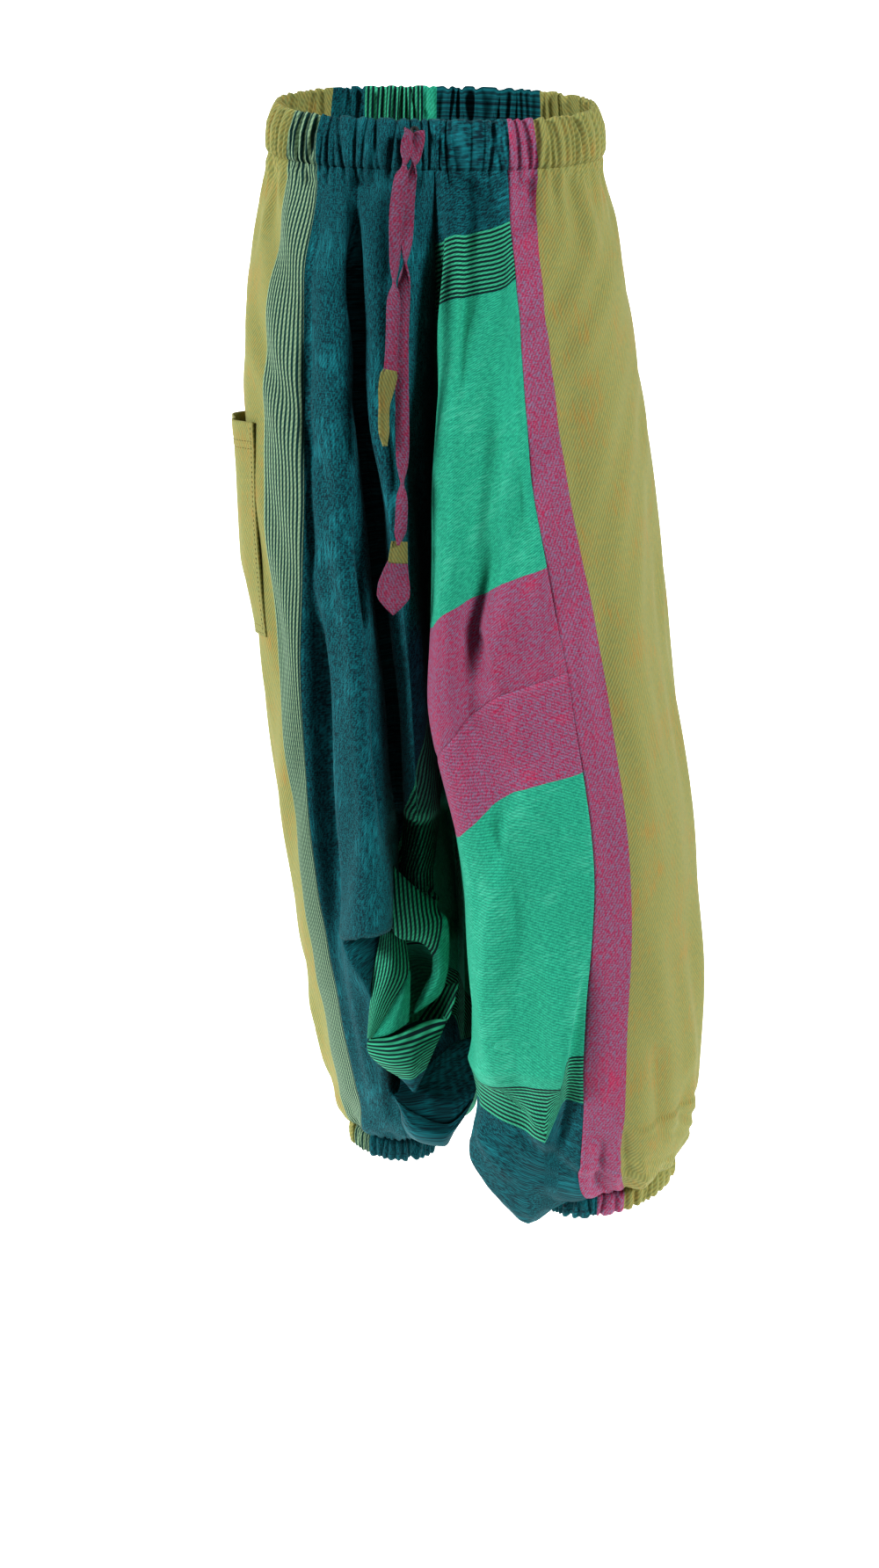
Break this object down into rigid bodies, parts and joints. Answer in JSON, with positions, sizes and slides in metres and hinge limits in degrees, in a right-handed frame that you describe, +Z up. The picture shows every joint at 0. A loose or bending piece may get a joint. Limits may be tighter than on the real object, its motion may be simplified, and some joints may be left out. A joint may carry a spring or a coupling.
{
  "type": "harem pants",
  "caption": "Harem pants in striped and banded handloom cotton, worn form, gathered elastic waist and cuffs, very low crotch, side patch pocket and hanging flat ties.",
  "frame": {"origin": "middle of the waist opening, level with the gathered casing", "axes": "+Z up along the hanging garment, -Y the garment's front, +X the wearer's left"},
  "size_m": [0.3988, 0.3113, 0.9295],
  "materials": {
    "striped_cotton_waist": "handloom cotton twill turned over a flat elastic and gathered, matt",
    "striped_cotton_right": "handloom cotton twill with olive, lined, teal and green stripes, matt",
    "banded_cotton_left": "handloom cotton twill with teal, lined, green and magenta bands, matt",
    "striped_cotton_left": "handloom cotton twill with a magenta stripe beside olive shot with orange and green, matt",
    "olive_cotton": "olive handloom cotton twill shot with orange and green, matt",
    "magenta_cotton": "magenta handloom cotton twill shot with grey violet, matt"
  },
  "bodies": {
    "root": {"waist_casing": "striped_cotton_waist", "right_front_panel": "striped_cotton_right", "right_side_panel": "striped_cotton_right", "right_back_panel": "striped_cotton_right", "left_front_upper": "banded_cotton_left", "left_front_lower": "banded_cotton_left", "left_side_panel": "striped_cotton_left", "left_back_panel": "banded_cotton_left", "patch_pocket": "olive_cotton", "right_cuff": "striped_cotton_right", "left_cuff": "striped_cotton_left", "tie_short": "magenta_cotton", "tie_short_tip": "olive_cotton", "tie_long": "magenta_cotton", "tie_long_band": "olive_cotton", "tie_long_leaf": "magenta_cotton"}
  },
  "joints": []
}
